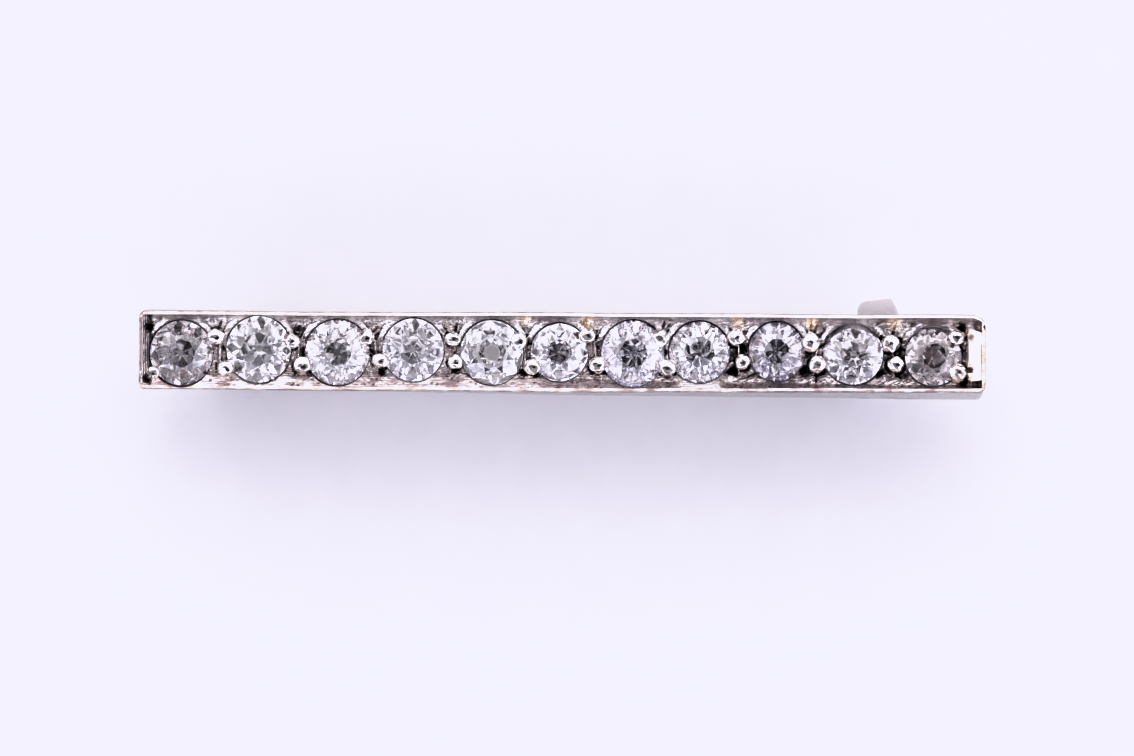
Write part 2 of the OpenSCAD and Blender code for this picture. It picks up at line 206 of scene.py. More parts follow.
# Each stone's facet wear in mm, haze, tint and its seat's stain, then the film on its point: radius in mm,
# haze, frost and colour.
STONE_LOOKS = [
    (0.060, 0.04, (0.68, 0.64, 0.66), 0.80, 0.14, 0.90, 0.10, (0.30, 0.26, 0.27)),
    (0.045, 0.01, (0.99, 0.98, 0.99), 0.20, 0.14, 0.90, 0.00, (0.24, 0.22, 0.26)),
    (0.045, 0.04, (0.99, 0.98, 1.00), 0.20, 0.14, 0.90, 0.00, (0.30, 0.28, 0.32)),
    (0.055, 0.01, (0.98, 0.97, 1.00), 0.10, 0.14, 0.90, 0.00, (0.40, 0.34, 0.36)),
    (0.040, 0.01, (0.99, 0.99, 1.00), 0.10, 0.34, 0.06, 0.60, (1.00, 1.00, 1.00)),
    (0.060, 0.01, (0.95, 0.93, 0.96), 0.30, 0.14, 0.90, 0.00, (0.30, 0.27, 0.29)),
    (0.075, 0.01, (0.93, 0.92, 0.98), 0.00, 0.14, 0.90, 0.00, (0.60, 0.58, 0.66)),
    (0.050, 0.01, (0.95, 0.95, 0.99), 0.10, 0.14, 0.90, 0.00, (0.30, 0.30, 0.34)),
    (0.060, 0.02, (0.74, 0.72, 0.78), 0.20, 0.14, 0.90, 0.00, (0.30, 0.27, 0.30)),
    (0.050, 0.01, (0.93, 0.91, 0.95), 0.30, 0.14, 0.90, 0.00, (0.35, 0.30, 0.31)),
    (0.060, 0.02, (0.82, 0.77, 0.79), 0.60, 0.42, 0.65, 0.10, (0.66, 0.43, 0.38)),
]

# The colours of the metals and of what lies on them.
CLEAN = (0.95, 0.925, 0.90, 1)
GRAIN_CLEAN = (0.98, 0.96, 0.93, 1)
SEAT_CLEAN = (0.92, 0.89, 0.89, 1)
# The outer walls, ends, back, hinge and solder are painted darker than the face: painted shade.
SIDE_SHADED = (0.68, 0.67, 0.67, 1)
BACK_CLEAN = (0.99, 0.985, 0.99, 1)
WARM = (0.99, 0.87, 0.73, 1)
BROWN = (0.30, 0.245, 0.25, 1)
# Black for soot, and for painted shade and painted reflections.
SOOT_AND_SHADE = (0.012, 0.007, 0.014, 1)
DIAMOND_IOR = 2.417

# How much of each stone's seat is blackened, as a share of the first one's patches.
SEAT_SOOT = np.array([1.0, 0.8, 0.4, 0.3, 0.4, 0.5, 0.2, 0.3, 0.5, 0.6, 0.9])

# Dark marks along the foot of the outer wall: x and half length.
FOOT_MARKS = [(12.94, 0.17), (14.70, 0.45)]


def roll(x):
    """How far the bar is twisted at a place along it."""
    return -BAR_TWIST * x / BAR_L


def twist(co):
    """Turns points from bar space into the brooch's own space, in millimetres."""
    a = roll(co[:, 0])
    y, h = co[:, 1], co[:, 2]
    out = np.empty_like(co)
    out[:, 0] = co[:, 0]
    out[:, 1] = y * np.cos(a) - h * np.sin(a) - CENTRE_Y
    out[:, 2] = MID_Z + y * np.sin(a) + h * np.cos(a)
    return out


def untwist(co):
    """Turns points of the brooch's own space back into bar space."""
    a = roll(co[:, 0])
    y, z = co[:, 1] + CENTRE_Y, co[:, 2] - MID_Z
    out = np.empty_like(co)
    out[:, 0] = co[:, 0]
    out[:, 1] = y * np.cos(a) + z * np.sin(a)
    out[:, 2] = -y * np.sin(a) + z * np.cos(a)
    return out


def smooth(value, low, high):
    """A soft step from 0 at the first limit to 1 at the second, which may be the lower one."""
    t = np.clip((value - low) / (high - low), 0, 1)
    return t * t * (3 - 2 * t)


def bump(value, middle, width):
    """A soft hump of height 1."""
    return np.exp(-(((value - middle) / width) ** 2))


def waves(x, seed, scale, rows=4):
    """Smooth wandering between about -1 and 1, the same on each run."""
    draw = random.Random(seed)
    total = np.zeros_like(np.asarray(x, float))
    for i in range(rows):
        total += np.sin(x / scale * (1 + 0.73 * i) * 2 + draw.uniform(0, 6.28)) / (1 + 0.6 * i)
    return total / 2


def make_object(name, points, faces, material=None):
    """A mesh object in the scene, from its points and faces."""
    mesh = bpy.data.meshes.new(name)
    mesh.from_pydata([tuple(p) for p in points], [], [tuple(f) for f in faces])
    if material is not None:
        mesh.materials.append(material)
    thing = bpy.data.objects.new(name, mesh)
    bpy.context.scene.collection.objects.link(thing)
    return thing


def apply_step(thing):
    """Makes what a modifier does to an object its own mesh."""
    bpy.context.view_layer.update()
    graph = bpy.context.evaluated_depsgraph_get()
    mesh = bpy.data.meshes.new_from_object(thing.evaluated_get(graph))
    thing.modifiers.clear()
    thing.data = mesh


def combine(target, tool, operation):
    """Joins the tool to the target or cuts it away, and deletes it."""
    step = target.modifiers.new("step", "BOOLEAN")
    step.solver = "MANIFOLD"
    step.operation = operation
    step.object = tool
    step.material_mode = "TRANSFER"
    apply_step(target)
    bpy.data.objects.remove(tool)


def join_meshes(name, parts, material):
    """One object that holds several closed meshes, given as points and faces."""
    points, faces = [], []
    for more_points, more_faces in parts:
        start = len(points)
        points += [tuple(p) for p in more_points]
        faces += [[start + i for i in face] for face in more_faces]
    return make_object(name, points, faces, material)


def lathe(profile, sides, place, oval=1.0, wobble=0.0, seed=0):
    """A closed solid turned round its own Z axis from a profile that starts and ends on the axis."""
    draw = random.Random(seed)
    phases = [draw.uniform(0, 6.28) for _ in range(3)]
    points = [place @ Vector((0, 0, profile[0][1]))]
    for r, z in profile[1:-1]:
        for i in range(sides):
            a = 2 * math.pi * i / sides
            swell = 1 + wobble * (math.sin(2 * a + phases[0]) + math.sin(3 * a + phases[1])
                                  + 0.5 * math.sin(5 * a + phases[2]))
            points.append(place @ Vector((r * swell * math.cos(a) * oval, r * swell * math.sin(a), z)))
    points.append(place @ Vector((0, 0, profile[-1][1])))
    rings = len(profile) - 2
    last = len(points) - 1
    faces = []
    for i in range(sides):
        j = (i + 1) % sides
        faces.append((0, 1 + j, 1 + i))
        for k in range(rings - 1):
            a, b = 1 + k * sides + i, 1 + k * sides + j
            faces.append((a, b, b + sides, a + sides))
        faces.append((1 + (rings - 1) * sides + i, 1 + (rings - 1) * sides + j, last))
    return points, faces


def read_stone(name):
    """A stone's place and main sizes, in millimetres, read from its CAD node."""
    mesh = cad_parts[name].data
    co = np.array([v.co for v in mesh.vertices]) / MM
    co = np.unique(np.round(co, 4), axis=0)
    tops = [p for p in mesh.polygons if p.normal.z > 0.97]
    best = max(tops, key=lambda p: (p.center.z, p.area))
    axis = sum((p.normal * p.area for p in tops if p.normal.dot(best.normal) > 0.9999), Vector())
    axis = np.array(axis.normalized())
    centre = co.mean(axis=0)
    level = (co - centre) @ axis
    flat = (co - centre) - np.outer(level, axis)
    reach = np.linalg.norm(flat, axis=1)
    girdle = level[reach > 0.93 * reach.max()]
    middle = (girdle.max() + girdle.min()) / 2
    centre = centre + axis * middle
    level = level - middle
    along = np.abs(flat[:, 0]).max()
    across = reach.max()
    table = reach[level > level.max() - 0.005].max()
    culet = reach[level < level.min() + 0.005].max()
    shoulder = [(r, z) for r, z in zip(reach, level) if table * 1.15 < r < across * 0.93 and z > 0.06]
    return {
        "name": name, "centre": Vector(centre), "axis": Vector(axis), "r": across, "oval": along / across,
        "table_r": table, "culet_r": culet, "top": level.max(), "bottom": level.min(),
        "half_girdle": girdle.max() - middle, "shoulder": max(shoulder, key=lambda p: p[0]),
    }


def stone_place(stone):
    """The matrix that puts what is made round the Z axis at a stone's girdle, with the stone's lean."""
    x, y, z = stone["centre"]
    turn = Vector(stone["axis"]).to_track_quat("Z", "Y").to_matrix().to_4x4()
    side = turn @ Vector((1, 0, 0))
    spin = Matrix.Rotation(math.atan2(side.y, side.x), 4, "Z").inverted()
    return Matrix.Translation((x, y, z)) @ spin @ turn


stones = [read_stone(name) for name in sorted(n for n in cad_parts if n.startswith("stone"))]
stone_x = [s["centre"].x for s in stones]
for s in stones:
    s["face"] = untwist(np.array([s["centre"]]))[0]


def gap_x(after):
    """The middle of the gap after so many stones."""
    if after == 0:
        return stone_x[0] - PITCH / 2
    if after == len(stones):
        return stone_x[-1] + PITCH / 2
    return (stone_x[after - 1] + stone_x[after]) / 2


# Each grain's place along and across the bar, and its radius.
grain_spots = [(gap_x(after) + along * PITCH, up * STONE_D, GRAIN_D * size / 2)
               for after, along, up, size in GRAINS]


def edge_y(x, side):
    """The rim's outer edge: a little bowed and never quite straight."""
    over = np.maximum(0, np.abs(x) - (BAR_L / 2 - CORNER_R))
    corner = CORNER_R - np.sqrt(np.maximum(0, CORNER_R ** 2 - over ** 2))
    if side > 0:
        sway = 0.022 * waves(x, 3, 6.0) - 0.012
        sway = sway - CUT_CORNER_W * np.clip((x - BAR_L / 2) / CUT_CORNER_L + 1, 0, 1)
    else:
        sway = 0.018 * waves(x, 4, 7.0) + 0.030 * (1 - (x / 15) ** 2) - 0.022
    return BAR_W / 2 - corner + sway


def side_depth(e, bevel, lean=1):
    """Depth below the rim at a distance e from an edge: the worn rim, which leans out or in, the cut wall,
    then the drop to the floor."""
    reach, depth = bevel
    width = RIM_W - WORN_EDGE
    slope = (RIM_W - e if lean > 0 else e - WORN_EDGE) / width
    rim = RIM_CROWN * np.clip(slope, 0, 1) + WORN_DROP * (np.maximum(0, WORN_EDGE - e) / WORN_EDGE) ** 1.3
    t = (e - RIM_W) / reach
    start = RIM_CROWN if lean < 0 else 0
    wall = start + 0.01 + depth * np.clip(t, 0, 1) + np.maximum(0, t - 1) * reach * 4
    return np.where(e < RIM_W, rim, wall)


def stone_distance(x, y, stone):
    """How far a point of the bar's face lies outside a stone's girdle."""
    centre = stone["face"]
    return np.hypot((x - centre[0]) / stone["oval"], y - centre[1]) - stone["r"]


def crescent_share(d, y):
    """Where the bright cut beside a stone lies, at a distance d outside its girdle."""
    return smooth(d, 0.05, 0.09) * smooth(d, 0.32, 0.27) * smooth(y, 0.35, 0.75)


def floor_depth(x, y):
    """The floor between the stones: cut ledges, a ridge between the seats, trenches and graver cuts."""
    depth = np.full_like(x, POCKET_D + RIM_CROWN + 0.04)
    draw = random.Random(11)
    for after in range(len(stones) + 1):
        gx = gap_x(after)
        near = bump(x, gx, 0.75)
        slant = draw.uniform(-0.14, 0.14)
        ridge = bump(x - gx - slant * y, 0.05 * draw.uniform(-1, 1), 0.085)
        crest = 1 + 0.35 * waves(y * 3, after + 20, 1.0)
        depth -= near * ridge * 0.36 * crest * smooth(np.abs(y), 1.3, 0.7)
        edge = 0.80 + draw.uniform(-0.06, 0.06)
        tilt = draw.uniform(-0.20, 0.20)
        for step, (rise, level) in enumerate(LEDGES):
            lip = y - edge - rise - tilt * (x - gx) - 0.045 * waves(x * 4, after * 2 + step + 40, 1.0)
            ledge = smooth(lip, -0.03, 0.03)
            cusp = level - 0.11 * bump(lip, 0.04, 0.045) + 0.06 * waves(x * 4 + y, after + 60 + step, 1.0)
            depth = depth + (cusp - depth) * ledge * np.minimum(1, near * 1.4)
        lip = -y - 0.92 - tilt * (gx - x) - 0.04 * waves(x * 4, after + 90, 1.0)
        foot = 0.56 - 0.08 * bump(lip, 0.04, 0.05) + 0.05 * waves(x * 5 + y, after + 70, 1.0)
        depth = depth + (foot - depth) * smooth(lip, -0.03, 0.04) * np.minimum(1, near * 1.4)
    for s in stones:
        d = stone_distance(x, y, s)
        depth = depth + (0.56 - 0.55 * d - depth) * crescent_share(d, y)
    for gx, gy, r in grain_spots:
        d = np.hypot(x - gx, y - gy)
        uneven = 0.7 + 0.5 * waves(x * 4 + y * 6, 96, 1.0)
        depth += 0.15 * bump(d, r + 0.04, 0.05) * smooth(d, r - 0.1, r) * uneven
    for _ in range(3):
        for gx, gy, r in grain_spots:
            a = draw.uniform(0, 6.28)
            u = (x - gx) * math.cos(a) + (y - gy) * math.sin(a)
            v = -(x - gx) * math.sin(a) + (y - gy) * math.cos(a)
            depth += 0.22 * bump(v, 0, 0.035) * smooth(u, r, r + 0.05) * smooth(u, r + 0.5, r + 0.3)
    depth += 0.024 * waves(x * 7 + y * 5, 70, 1.0) + 0.024 * waves(y * 9 - x * 4, 71, 1.0)
    return depth


def bottom_bevel(x):
    """The lower wall's facet gets narrower and steeper towards the right end, apart from one bright cut."""
    cut = np.zeros_like(x)
    for gx, half in LOWER_GLINTS:
        cut = np.maximum(cut, smooth(np.abs(x - gx), half + 0.25, half))
    reach = BOTTOM_BEVEL[0] - 0.10 * smooth(x, -2, 6) - 0.12 * smooth(x, 6, 14) + 0.02 * waves(x, 31, 2.4)
    return reach + 0.04 * cut, BOTTOM_BEVEL[1] + 0.25 * smooth(x, -2, 8) * (1 - cut)


def pit_distance(x, y, px, py):
    """Distance from a pit's middle, made uneven so that the pit isn't round."""
    ragged = 1 + 0.4 * waves(x * 9 + y * 4, 91, 1.0) * waves(y * 8 - x * 5, 92, 1.0)
    return np.hypot(x - px, y - py) * ragged


def end_grooves(e_left, y):
    """The fine grooves along the left end's wall, between -1 and 1."""
    return np.sin(e_left * GROOVES_TO_A_MM + 1.5 * waves(y, 85, 0.5))


def relief_depth(x, y):
    """Depth of the bar's face below its rim."""
    top = side_depth(edge_y(x, 1) - y, TOP_BEVEL)
    bottom = side_depth(edge_y(x, -1) + y, bottom_bevel(x), -1)
    e_left = x + BAR_L / 2
    left = side_depth(e_left, LEFT_BEVEL)
    left = left + GROOVE_DEPTH * end_grooves(e_left, y) * smooth(e_left, RIM_W - 0.03, RIM_W + 0.03)
    right = side_depth(BAR_L / 2 - x, RIGHT_BEVEL)
    past_facet = np.maximum(smooth(edge_y(x, 1) - y, FACET_TOP + 0.04, FACET_TOP),
                            smooth(edge_y(x, -1) + y, FACET_FOOT + 0.04, FACET_FOOT))
    right = right + (POCKET_D - right) * past_facet * smooth(BAR_L / 2 - x, RIM_W, RIM_W + 0.05)
    depth = np.minimum(np.minimum(top, bottom), np.minimum(left, right))
    depth = np.minimum(depth, floor_depth(x, y))
    for px, py, r, more, _ in PITS:
        depth += more * bump(pit_distance(x, y, px, py), 0, r)
    return depth


def stations():
    """Stations along the bar: close together at its ends and between the stones."""
    marks = []
    x = -BAR_L / 2
    while x < BAR_L / 2 - 0.001:
        marks.append(x)
        from_end = min(x + BAR_L / 2, BAR_L / 2 - x)
        from_gap = min(abs(x - gap_x(k)) for k in range(len(stones) + 1))
        if from_end < END_ZONE:
            x += END_STEP
        elif from_end < SECOND_ZONE or from_gap < GAP_HALF:
            x += GAP_STEP
        else:
            x += STONE_STEP
    marks.append(BAR_L / 2)
    return np.array(marks)


def make_bar(face_metal, side_metal):
    """The tray-shaped bar as a skin of rings, before the seats are cut. Its face has the first metal."""
    edge_steps = [0, 0.018, 0.036, WORN_EDGE, 0.09, 0.125, RIM_W - 0.004, RIM_W + 0.008]
    edge_steps += [RIM_W + FINE_STRIP * i / FINE_STEPS for i in range(1, FINE_STEPS + 1)]
    inner = edge_steps[-1]
    c = BACK_CHAMFER
    foot = -BAR_D / 2
    rings = []
    for x in stations():
        up, down = float(edge_y(np.array(x), 1)), float(edge_y(np.array(x), -1))
        ys = [-down + e for e in edge_steps]
        ys += [-down + inner + (up + down - 2 * inner) * i / FLOOR_STEPS for i in range(1, FLOOR_STEPS)]
        ys += [up - e for e in reversed(edge_steps)]
        ys = np.array(ys)
        top_h = BAR_D / 2 - relief_depth(np.full_like(ys, x), ys)
        ring = [(x, y, h) for y, h in zip(ys, top_h)]
        ring += [(x, up + SIDE_SWAY * math.sin(h * 2 + x * 0.7), h) for h in SIDE_HEIGHTS]
        ring += [(x, up, foot + c), (x, up - c * 0.35, foot + c * 0.3), (x, up - c, foot)]
        ring += [(x, (up - c) - (up + down - 2 * c) * i / BACK_STEPS, foot) for i in range(1, BACK_STEPS)]
        ring += [(x, -down + c, foot), (x, -down + c * 0.35, foot + c * 0.3), (x, -down, foot + c)]
        ring += [(x, -down - SIDE_SWAY * math.sin(h * 2 - x * 0.6), h) for h in reversed(SIDE_HEIGHTS)]
        rings.append(ring)
    n = len(rings[0])
    points = twist(np.array([p for ring in rings for p in ring]))
    faces = [tuple(range(n))]
    for k in range(len(rings) - 1):
        for i in range(n):
            a, b = k * n + i, k * n + (i + 1) % n
            faces.append((a, a + n, b + n, b))
    faces.append(tuple((len(rings) - 1) * n + i for i in reversed(range(n))))
    bar = make_object("setting_metal", points, faces, face_metal)
    bar.data.materials.append(side_metal)
    face_count = len(edge_steps) * 2 + FLOOR_STEPS - 2
    for polygon in bar.data.polygons:
        if polygon.index in (0, len(faces) - 1) or (polygon.index - 1) % n >= face_count:
            polygon.material_index = 1
    return bar


def openings(material):
    """Above each girdle the walls are cut back to the stone's own round."""
    parts = []
    for i, s in enumerate(stones):
        r = s["r"] + OPENING_GAP
        rings = [(r * share, z) for share, z in OPENING_RINGS]
        profile = [(0, rings[0][1])] + rings + [(0, rings[-1][1])]
        parts.append(lathe(profile, CUT_SIDES, stone_place(s), s["oval"], OPENING_WOBBLE, i))
    return join_meshes("openings", parts, material)


def seats(material):
    """Each stone's own envelope, its bearing, the waist below it and the light hole out to the back."""
    back = BAR_D / 2 + GIRDLE_H
    past = 0.4
    parts = []
    for s in stones:
        r = s["r"] + SEAT_GAP
        half = s["half_girdle"]
        shoulder_r, shoulder_z = s["shoulder"]
        waist_r = max(WAIST_R, s["culet_r"] + 0.1)
        waist = half + (-s["bottom"] - half) * (s["r"] - waist_r) / (s["r"] - s["culet_r"]) + WAIST_GAP
        profile = [
            (0, -back - past),
            (LIGHT_HOLE_R + HOLE_FLARE + past, -back - past),
            (LIGHT_HOLE_R, -back + HOLE_FLARE),
            (LIGHT_HOLE_R, -waist - 0.30),
            (waist_r, -waist - 0.06),
            (waist_r, -waist),
            (r, -half - 0.05),
            (r, half + SEAT_GAP),
            (shoulder_r + SEAT_GAP, shoulder_z + SEAT_GAP),
            (s["table_r"], s["top"] + SEAT_GAP),
            (0, s["top"] + SEAT_GAP),
        ]
        parts.append(lathe(profile, CUT_SIDES, stone_place(s), s["oval"]))
    return join_meshes("seats", parts, material)


def grains(material):
    """The round grains that hold the stones, each one burnished a little differently."""
    draw = random.Random(5)
    rows, sides = GRAIN_ROWS, GRAIN_SIDES
    parts = []
    for gx, gy, r in grain_spots:
        squash = Vector((draw.uniform(0.95, 1.16), draw.uniform(0.92, 1.08), 1))
        turn = Matrix.Rotation(draw.uniform(0, 3.14), 4, "Z")
        shift = Vector((draw.uniform(0, 9), draw.uniform(0, 9), draw.uniform(0, 9)))
        dome = GRAIN_DOME * draw.uniform(0.88, 1.12)
        place = []
        for k in range(1, rows):
            t = math.pi * k / rows
            for i in range(sides):
                a = 2 * math.pi * i / sides
                d = Vector((math.sin(t) * math.cos(a), math.sin(t) * math.sin(a), math.cos(t)))
                size = r * (1.03 + 0.17 * noise.noise(d * 1.5 + shift))
                p = Vector([d[j] * squash[j] * size for j in range(3)])
                if p.z > 0:
                    p.z *= dome
                place.append(turn @ p)
        top = place[0].copy()
        top.x = top.y = 0
        place = [top] + place + [Vector((0, 0, -r))]
        depth = GRAIN_TOP + dome * r + draw.uniform(-0.04, 0.03)
        local = np.array([(gx + p.x, gy + p.y, BAR_D / 2 - depth + p.z) for p in place])
        points = twist(local)
        last = len(points) - 1
        faces = []
        for i in range(sides):
            j = (i + 1) % sides
            faces.append((0, 1 + i, 1 + j))
            for k in range(rows - 2):
                a, b = 1 + k * sides + i, 1 + k * sides + j
                faces.append((a, a + sides, b + sides, b))
            faces.append((1 + (rows - 2) * sides + j, 1 + (rows - 2) * sides + i, last))
        parts.append((points, faces))
    return join_meshes("grains", parts, material)


def soften(thing, width):
    """Rounds a part's sharp edges."""
    step = thing.modifiers.new("soften", "BEVEL")
    step.width = width
    step.segments = 2
    step.limit_method = "ANGLE"
    step.angle_limit = math.radians(35)
    apply_step(thing)


def prism(name, outline, low, high, material, axis="Z"):
    """An outline pushed straight through between two levels, along X or Z."""
    points = []
    for level in (low, high):
        for a, b in outline:
            points.append((level, a, b) if axis == "X" else (a, b, level))
    n = len(outline)
    faces = [tuple(reversed(range(n))), tuple(range(n, 2 * n))]
    faces += [(i, (i + 1) % n, n + (i + 1) % n, n + i) for i in range(n)]
    return make_object(name, points, faces, material)


def arc(y, z, r, start, end, steps=10):
    """Points along an arc, with its angles in degrees."""
    angles = [start + (end - start) * i / steps for i in range(steps + 1)]
    return [(y + r * math.cos(math.radians(a)), z + r * math.sin(math.radians(a))) for a in angles]


def catch_outline():
    """The strip from the side: down from the bar, under the pin, up and out to the lip."""
    flat = CATCH_FLAT / 2
    outer, inner = PIN_Z, PIN_Z - CATCH_T
    bend = CATCH_T / 2 + LIP_BEND
    bend_y = flat + inner + CATCH_T / 2 + bend
    up = 90 + math.degrees(LIP_SLOPE)
    end_y = LIP_REACH + 0.4
    top = BACK_Z + SOLDER_D

    def lip(r):
        y, z = arc(bend_y, PIN_Z, r, up, up, 1)[0]
        return [(end_y, z + (end_y - y) * math.tan(LIP_SLOPE))]

    outline = [(-flat - outer, top)]
    outline += arc(-flat, PIN_Z, outer, 180, 270) + arc(flat, PIN_Z, outer, 270, 360)
    outline += arc(bend_y, PIN_Z, bend - CATCH_T / 2, 180, up)[1:] + lip(bend - CATCH_T / 2)
    outline += lip(bend + CATCH_T / 2) + arc(bend_y, PIN_Z, bend + CATCH_T / 2, up, 180)
    outline += arc(flat, PIN_Z, inner, 360, 270)[1:] + arc(-flat, PIN_Z, inner, 270, 180)
    return outline + [(-flat - inner, top)]


def catch_plan():
    """The strip from above: its lip has one well rounded corner and one slanted side."""
    side = CATCH_W / 2
    tip = LIP_W / 2
    plan = [(side, -BAR_W / 2), (side, LIP_REACH - LIP_L)]
    plan += arc(tip + 0.07 - LIP_R, LIP_REACH - LIP_R, LIP_R, 25, 90, 6)
    plan += arc(-side + 2 * LIP_R, LIP_REACH - LIP_SLANT - 2 * LIP_R, 2 * LIP_R, 95, 175, 10)
    return plan + [(-side, -BAR_W / 2)]


def hook_catch(material):
    """The hook that the pin's point goes under, with its flared lip."""
    catch = prism("catch", catch_outline(), -CATCH_W, CATCH_W, material, "X")
    plan = prism("plan", catch_plan(), -1, BACK_Z + 2, material)
    combine(catch, plan, "INTERSECT")
    soften(catch, 0.06)
    catch.data.transform(Matrix.Translation((CATCH_X, -CENTRE_Y, 0)))
    return catch


def hinge_ear(side, material):
    """One of the two plates that hold the pin's rivet."""
    half = EAR_W / 2
    foot = math.asin(half / PIN_Z)
    outline = [(PIN_Z * math.sin(foot - 2 * foot * i / 12), -PIN_Z * math.cos(foot - 2 * foot * i / 12))
               for i in range(13)]
    outline += [(-half, BACK_Z + SOLDER_D - PIN_Z), (half, BACK_Z + SOLDER_D - PIN_Z)]
    ear = prism("ear", outline, -EAR_T / 2, EAR_T / 2, material)
    bore = lathe([(0, -1), (EAR_BORE_R, -1), (EAR_BORE_R, 1), (0, 1)], 40, Matrix.Identity(4))
    combine(ear, make_object("bore", *bore, material), "DIFFERENCE")
    soften(ear, 0.05)
    upright = Matrix.Rotation(math.pi / 2, 4, "X")
    ear.data.transform(Matrix.Translation((HINGE_X, side * EAR_Y - CENTRE_Y, PIN_Z)) @ upright)
    return ear


def solder(place, size, seed, material):
    """A low mound of solder where a part joins the back."""
    draw = Vector((seed * 3.1, seed * 1.7, 0))
    half_round = [(math.sin(math.pi * k / 10), -math.cos(math.pi * k / 10)) for k in range(1, 10)]
    profile = [(0, -1)] + half_round + [(0, 1)]
    points, faces = lathe(profile, 28, Matrix.Identity(4))
    shaped = []
    for p in points:
        swell = 1 + 0.12 * noise.noise(p * 1.8 + draw)
        shaped.append([place[i] + p[i] * size[i] * swell for i in range(3)])
    return make_object("solder", shaped, faces, material)


def dark_reflection_distance(x, y, grain):
    """Distance from the painted reflection near a grain's top, as a share of the grain's radius."""
    gx, gy, r = grain
    draw = random.Random(round(gx * 100))
    along = (x - gx) / r - draw.uniform(0.02, 0.26)
    across = (y - gy) / r + draw.uniform(0.0, 0.20)
    turn = draw.uniform(-0.7, 0.5)
    u = along * math.cos(turn) + across * math.sin(turn)
    v = across * math.cos(turn) - along * math.sin(turn)
    return np.hypot(u, v * draw.uniform(1.4, 2.0) + 0.8 * u * u) / draw.uniform(0.85, 1.15)


class Corners:
    """What is known of each face corner of the setting, in arrays: its metal, its place in bar space, its
    distances from the edges, and how far it belongs to each part of the bar."""

    def __init__(self, mesh):
        co = np.zeros(len(mesh.vertices) * 3)
        mesh.vertices.foreach_get("co", co)
        vertex = np.zeros(len(mesh.loops), int)
        mesh.loops.foreach_get("vertex_index", vertex)
        own = co.reshape(-1, 3)[vertex]
        bar = untwist(own)
        kind = np.zeros(len(mesh.polygons), int)
        sizes = np.zeros(len(mesh.polygons), int)
        mesh.polygons.foreach_get("material_index", kind)
        mesh.polygons.foreach_get("loop_total", sizes)
        names = np.array([m.name for m in mesh.materials])
        self.metal = names[np.repeat(kind, sizes)]
        self.own_y = own[:, 1]
        self.x, self.y = bar[:, 0], bar[:, 1]
        self.depth = BAR_D / 2 - bar[:, 2]
        self.e_top = edge_y(self.x, 1) - self.y
        self.e_bottom = edge_y(self.x, -1) + self.y
        self.e_left, self.e_right = self.x + BAR_L / 2, BAR_L / 2 - self.x
        end = np.minimum(self.e_left, self.e_right)
        self.e = np.minimum(np.minimum(self.e_top, self.e_bottom), end)
        self.flat_end = (self.metal == "side_metal") & (end < 0.001)

        self.inside = smooth(self.e, RIM_W - 0.01, RIM_W + 0.02) * smooth(self.depth, 1.7, 1.4)
        self.upper = smooth(self.e_top, 0.60, 0.50) * self.inside
        lower_reach = RIM_W + bottom_bevel(self.x)[0]
        self.lower = smooth(self.e_bottom - lower_reach, 0.05, -0.01) * self.inside
        self.left = smooth(self.e_left, 0.60, 0.48) * self.inside
        right = smooth(self.e_right, 0.78, 0.70) * self.inside
        walls = np.maximum(np.maximum(self.upper, self.lower), np.maximum(self.left, right))
        self.middle = self.inside * (1 - walls)
        self.facet = (right * smooth(self.e_top, FACET_TOP, FACET_TOP + 0.05)
                      * smooth(self.e_bottom, FACET_FOOT, FACET_FOOT + 0.05))
        self.facet_spot = bump(np.hypot(self.x - FACET_SPOT[0], (self.y - FACET_SPOT[1]) * 0.7), 0, 0.12)
        self.by_rim = smooth(self.depth, 0.3, 0.2)
        self.outer_wall = smooth(self.e_bottom, 0.05, 0.02) * smooth(self.depth, 0.15, 0.25)
        self.grooves = 0.5 + 0.5 * end_grooves(self.e_left, self.y)

        faces = np.array([s["face"] for s in stones])
        self.nearest = np.abs(self.x[:, None] - faces[None, :, 0]).argmin(axis=1)
        self.over_girdle = bar[:, 2] - faces[self.nearest, 2]
        self.opening = smooth(self.over_girdle, -0.10, -0.02)


